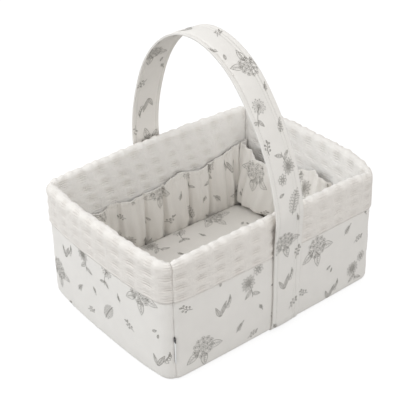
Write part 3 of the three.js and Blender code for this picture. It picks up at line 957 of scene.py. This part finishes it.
# Base pad
# A loose pad in the same printed cotton lies in the bottom between the pockets. It has a
# board and thin foam inside, and softly rounded edges.
pad_half = (0.1525, 0.1172)
pad_low, pad_high = 0.0068, 0.0196
pad_corner, pad_edge = 0.016, 0.0035
pad_ease, pad_sink = 0.002, 0.0016  # the block is this much smaller before it swells
bpy.ops.mesh.primitive_cube_add(size=1, location=(0, 0, (pad_low + pad_high) / 2))
pad = bpy.context.object
pad.name = pad.data.name = "printed_base_pad"
pad_size = (2 * pad_half[0] - pad_ease, 2 * pad_half[1] - pad_ease, pad_high - pad_low - pad_sink)
pad.scale = pad_size
bpy.ops.object.transform_apply(location=True, rotation=False, scale=True)
weights = pad.data.attributes.new("bevel_weight_edge", "FLOAT", "EDGE")
for edge, weight in zip(pad.data.edges, weights.data):
    ends = [pad.data.vertices[k].co for k in edge.vertices]
    weight.value = 1.0 if abs(ends[0].z - ends[1].z) > 0.005 else 0.0
work(pad, "BEVEL", width=pad_corner, segments=6, limit_method="WEIGHT")
work(pad, "BEVEL", width=pad_edge, segments=3, limit_method="ANGLE", angle_limit=math.radians(50))
pad.data.remesh_voxel_size = 0.004
bpy.ops.object.voxel_remesh()


def points_of(piece):
    return np.array([v.co for v in piece.data.vertices])


def let_swell(piece, cap, pressure):
    """Lets the cover fill out for a moment under its stuffing, no point moving beyond a cap."""
    before = points_of(piece)
    bpy.context.view_layer.objects.active = piece
    swelling = piece.modifiers.new("swelling cover", "CLOTH")
    change(swelling.settings, use_pressure=True, uniform_pressure_force=pressure, quality=5)
    swelling.settings.effector_weights.gravity = 0
    moments = 20
    for moment in range(1, moments + 1):
        bpy.context.scene.frame_set(moment)
    graph = bpy.context.evaluated_depsgraph_get()
    after = points_of(piece.evaluated_get(graph))
    piece.modifiers.remove(swelling)
    bpy.context.scene.frame_set(1)
    moved = after - before
    far = np.linalg.norm(moved, axis=1, keepdims=True)
    moved *= np.minimum(1, cap / np.maximum(far, 1e-9))
    piece.data.vertices.foreach_set("co", (before + moved).ravel())
    piece.data.update()


swell_cap, swell_pressure = 0.0012, 4
let_swell(pad, swell_cap, swell_pressure)
surface = points_of(pad)
x, y, z = surface.T
inwards = np.minimum(pad_half[0] - np.abs(x), pad_half[1] - np.abs(y))
upper = ease((z - 0.012) / 0.006)
dents = 0.0006 * uneven(x, y, 0.05, 2) + 0.0003 * uneven(x, y, 0.017, 4)
surface[:, 2] += upper * (0.0006 * ease(inwards / 0.05) + dents * ease(inwards / 0.012))
pad.data.vertices.foreach_set("co", surface.ravel())
work(pad, "SUBSURF", levels=1, render_levels=1)
bpy.ops.object.shade_smooth()
mark_cut(pad.data, points_of(pad)[:, :2])
pad.data.materials.append(printed_cotton)


def on_pad(u, v):
    """The pad's real surface, found by looking straight down on it."""
    u, v = np.broadcast_arrays(u, v)
    high = np.empty(u.shape)
    for k, (x, y) in enumerate(zip(u.ravel(), v.ravel())):
        hit, place, _, _ = pad.ray_cast((x, y, 0.05), (0, 0, -1))
        high.flat[k] = place.z if hit else pad_high
    return np.stack([u, v, high], axis=-1)


print_on(pad, on_pad, about_middle((0.147, 0.111)), (0.055, 0.078))
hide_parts("base_insert_cover")
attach(pad, "base_insert")


# Carrying strap
# One padded strap of printed cotton, 46 mm wide. It is sewn up the middle of both long walls
# and arches over the basket. Two layers are turned in at the edges and topstitched together.
strap_half, strap_thick = 0.0229, 0.0012
edge_roll = 0.0007
flat_half = strap_half - 0.0013
face_points = 46
edge_turn = np.radians(np.linspace(0, 180, 7))
edge = edge_roll * np.stack([1 - np.sin(edge_turn), 1.05 - np.cos(edge_turn)], -1) - (strap_half, 0)
face_across = np.linspace(-flat_half, flat_half, face_points)
face = np.stack([face_across, np.full(face_points, strap_thick)], -1)
section = np.concatenate([
    edge, face, edge[::-1] * (-1, 1), edge * (-1, -1), face * (-1, -1), edge[::-1] * (1, -1),
])
section = section[np.append(True, np.diff(way_along(section)) > 1e-5)]
section_way = way_along(section)
strap_round = section_way[-1]

hinge_height, arch_rise, arch_foot, arch_lean = 0.172, 0.1937, 0.1438, 0.0143
front_x, back_x = 0.007, -0.0011
rise_power, spread_power = 1.154, 1.02
sweep = np.linspace(0, 1, 201)
rise = np.sin(math.pi * sweep) ** rise_power
spread = np.sign(0.5 - sweep) * np.abs(np.cos(math.pi * sweep)) ** spread_power
arch = np.stack([
    front_x + (back_x - front_x) * sweep,
    arch_lean * rise - arch_foot * spread,
    hinge_height + arch_rise * rise,
], -1)
leg_z = np.array([0.0028, 0.006, 0.012, 0.03, 0.06, 0.09, 0.118, 0.135, 0.155, 0.166])
leg_y = np.array([0.1348, 0.1373, 0.1386, 0.1396, 0.1403, 0.1403, 0.1400, 0.1404, 0.1420, 0.1431])
front_leg = np.stack([np.full(len(leg_z), front_x), -leg_y, leg_z], -1)
back_leg = np.stack([np.full(len(leg_z), back_x), leg_y, leg_z], -1)[::-1]
spine = np.concatenate([front_leg, arch[2:-2], back_leg])
spine_way = way_along(spine)
spine = read_off(spine, spine_way, np.linspace(0, spine_way[-1], 421))
for _ in range(6):
    spine[1:-1] = (spine[:-2] + 2 * spine[1:-1] + spine[2:]) / 4
spine_way = way_along(spine)
strap_long = spine_way[-1]
ahead = unit(np.gradient(spine, spine_way, axis=0))
askew = math.atan2(front_x - back_x, 2 * arch_foot) * ease((spine[:, 2] - 0.12) / 0.06)
across = np.stack([np.cos(askew), np.sin(askew), np.zeros(len(askew))], -1)
across = unit(across - (across * ahead).sum(1, keepdims=True) * ahead)
outwards = np.cross(across, ahead)
strap_puff, groove_depth, groove_width = 0.0008, 0.0009, 0.0010
seam_in = strap_half - 0.0061
outer_rows = (-seam_in, 0.0113, 0.0163)
inner_rows = (-seam_in, seam_in)


def on_strap(w, n, v):
    """A point of the strap, w across it from its middle, n out of its middle layer and v along
    it. The real strap isn't quite straight."""
    w = w + 0.0004 * np.sin(v / 0.019 + 1) + 0.0005 * np.sin(v / 0.047)
    middle, aside, out = [read_off(line, spine_way, v) for line in (spine, across, outwards)]
    return middle + w[..., None] * aside + n[..., None] * out


def strap_relief(w, v, rows):
    """Height of a padded face over a flat one, pulled in along its rows of stitching."""
    puff = strap_puff * np.clip(1 - (w / seam_in) ** 2, 0, 1)
    grooves = groove_depth * sum(near(w - row, groove_width) for row in rows)
    pucker = 0.00022 * np.sin(v / 0.0016 + 9 * w) * np.exp(-np.abs(np.abs(w) - seam_in) / 0.003)
    return puff - grooves + 0.0005 * uneven(w, v, 0.03, 1) + pucker


def strap_shape(u, v):
    """u runs round the section, v along the strap from the front foot to the back foot."""
    w, n = read_off(section, section_way, np.mod(u, strap_round)).T
    to_edge = np.clip((strap_half - edge_roll - np.abs(w)) / 0.0015, 0, 1)
    outer = n + strap_relief(w, v, outer_rows) * to_edge
    inner = n - strap_relief(w, v, inner_rows) * to_edge
    to_end = np.minimum(v, strap_long - v)
    return on_strap(w, np.where(n > 0, outer, inner) * (0.35 + 0.65 * ease(to_end / 0.003)), v)


strap_cut = (0, strap_round, 0, strap_long)
strap = lay_cloth("carrying_strap", printed_cotton, strap_cut, (0.0011, 0.0019), strap_shape)
bpy.ops.object.mode_set(mode="EDIT")
bpy.ops.mesh.select_all(action="SELECT")
bpy.ops.mesh.remove_doubles(threshold=0.00002)
bpy.ops.mesh.select_all(action="DESELECT")
bpy.ops.mesh.select_non_manifold(extend=False, use_wire=False, use_boundary=True)
bpy.ops.mesh.fill_holes(sides=0)
bpy.ops.mesh.select_all(action="SELECT")
bpy.ops.mesh.normals_make_consistent(inside=False)
bpy.ops.object.mode_set(mode="OBJECT")


def strap_outer(u, v):
    """The strap's upper face, u across it."""
    u, v = np.broadcast_arrays(u, v)
    return on_strap(u, strap_thick + strap_relief(u, v, outer_rows), v)


def strap_inner(u, v):
    """Its under face, seen from the inside, u across it the other way."""
    u, v = np.broadcast_arrays(u, v)
    return on_strap(-u, -strap_thick - strap_relief(-u, v, inner_rows), v)


def stitch_row(piece, shape, u, start, end):
    """Sews a row of short stitches up a laid cloth, at u across it."""
    stitch, skip, thick, height = 0.0027, 0.0007, 0.00019, 0.00012
    starts = start + np.arange(0.002, end - start - stitch, stitch + skip)
    rows = [lifted(shape, u, starts + stitch * t, height) for t in (0, 0.15, 0.5, 0.85, 1)]
    up = unit(lifted(shape, u, starts + stitch * 0.5, height + 0.001) - rows[2])
    side = np.cross(unit(rows[4] - rows[0]), up)
    layers = [rows[0] - up * thick]
    for row, swell in zip(rows[1:4], (0.85, 1.0, 0.85)):
        for a in np.linspace(0, 2 * math.pi, 6)[:-1]:
            layers.append(row + thick * swell * (math.cos(a) * up + math.sin(a) * side))
    layers.append(rows[4] - up * thick)
    points = np.stack(layers, 1).reshape(-1, 3).tolist()
    faces = []
    for first in range(0, len(points), len(layers)):
        for a in range(5):
            b = (a + 1) % 5
            faces.append((first, first + 1 + b, first + 1 + a))
            for ring in (first + 1, first + 6):
                faces.append((ring + a, ring + b, ring + 5 + b, ring + 5 + a))
            faces.append((first + 16, first + 11 + a, first + 11 + b))
    join_shapes(piece, points, faces, thread)


for rows, face_shape in ((outer_rows, strap_outer), (inner_rows, strap_inner)):
    for row in rows:
        stitch_row(strap, face_shape, row, 0.002, strap_long - 0.002)

# The strap was cut along the cloth, so other parts of the print follow one another on it.
strap_bolt = ((0.100, 0.392), [
    ("bells", -4, 12, 8, 1.0), ("berries", 13, 50, 70, 1.0), ("mophead", -7, 84, 20, 1.1),
    ("small sprig", 15, 108, 100, 1.0), ("fern", 2, 122, 74, 1.1), ("loose leaf", -14, 150, 20, 1.0),
    ("daisies", 9, 182, 190, 1.1), ("berries", -15, 204, 80, 0.9), ("sprig", 11, 222, 60, 1.1),
    ("seed ball", -5, 262, -20, 1.1), ("small sprig", 15, 276, 60, 1.0),
    ("mophead", 10, 312, 190, 1.1), ("loose leaf", -13, 330, 70, 1.0),
    ("small sprig", -14, 344, 120, 1.1), ("berries", 4, 366, 40, 1.0),
])
strap_face = (-flat_half, flat_half, 0.004, strap_long - 0.004)
print_on(strap, strap_outer, strap_face, (0, 0.052), bolt=strap_bolt)
print_on(strap, strap_inner, strap_face, (0.004, 0.23), bolt=strap_bolt)
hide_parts("handle_outer_face", "handle_inner_face", "handle_core", "front_strap_cover",
            "front_strap_core", "back_strap_cover", "back_strap_core")
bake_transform(strap)


# Side label
# A plain white satin tape, folded double and caught in the near corner seam. It is woven with
# a dark band at its upper end and carries no words.
label_low, label_high, label_reach = 0.030, 0.068, 0.0050
label_half_thick, label_curl, band_foot = 0.00038, 0.0007, 0.0610
label_seam = corner_seams["front_left"]
in_seam, well_out = -0.0016, 0.0084  # two depths that give the label its direction


def label_shape(u, v):
    """u runs from the seam out to the fold and back, v up the label."""
    u, v = np.broadcast_arrays(u, v)
    out = np.where(u < label_reach, u, 2 * label_reach - u)
    thick = label_half_thick * np.sqrt(np.clip(1 - (out / label_reach) ** 6, 0, 1))
    side = np.where(u < label_reach, thick, -thick)
    curl = label_curl * (out / label_reach) ** 2 * np.sin((v - label_low) / 0.017)
    at_seam = np.full(u.shape, label_seam)
    root = on_wall(at_seam, v, in_seam)
    way = unit(on_wall(at_seam, v, well_out) - root)
    sideways = np.stack([-way[..., 1], way[..., 0], np.zeros(u.shape)], -1)
    return root + way * (out[..., None] + 0.0004) + sideways * (side + curl)[..., None]


tape = new_surface("label_tape", {"Roughness": 0.42, "Sheen Weight": 0.15})
tape_cut = add_node(tape, "UVMap", "UV", uv_map="cut")
tape_up = add_node(tape, "SeparateXYZ", "Y", {"Vector": tape_cut})
in_band = add_node(tape, "Math", 0, {0: tape_up, 1: band_foot}, operation="GREATER_THAN")
tape_tones = {"Factor": in_band, "A": (0.78, 0.78, 0.77, 1), "B": (0.03, 0.03, 0.03, 1)}
satin = add_node(tape, "TexWave", "Fac", {"Scale": 700, "Vector": tape_cut})
satin_bump = {"Strength": 0.2, "Distance": 0.0001, "Height": satin}
set_surface(tape, {
    "Base Color": add_node(tape, "Mix", "Result", tape_tones, data_type="RGBA"),
    "Normal": add_node(tape, "Bump", "Normal", satin_bump),
})
label_cut = (0, 2 * label_reach, label_low, label_high)
label = lay_cloth("folded_side_label", tape, label_cut, (0.0005, 0.0012), label_shape)
thicken(label, 0.0002)
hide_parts("side_label")
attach(label, "basket")


# Stiffening and padding inside
# Grey card stiffens the walls and the base, and white wadding pads them. The cloth hides
# them, but they are there when the basket is cut open.
def fibrous(name, dark, light, scale, bump_depth):
    """Matted fibres of two tones."""
    matted = new_surface(name, {"Roughness": 0.95})
    place = add_node(matted, "TexCoord", "Object")
    fibres = add_node(matted, "TexNoise", "Fac", {"Scale": scale, "Detail": 6, "Vector": place})
    bump = {"Strength": 0.5, "Distance": bump_depth, "Height": fibres}
    set_surface(matted, {
        "Base Color": two_tones(matted, fibres, dark, light),
        "Normal": add_node(matted, "Bump", "Normal", bump),
    })
    return matted


grey_card = fibrous("grey_card", (0.36, 0.34, 0.30), (0.50, 0.47, 0.42), 300, 0.0001)
wadding = fibrous("white_wadding", (0.74, 0.74, 0.73), (0.86, 0.86, 0.85), 160, 0.0006)
for name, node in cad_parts.items():
    if node.hide_render:
        continue
    node.data.materials.clear()
    node.data.materials.append(grey_card if "board" in name else wadding)
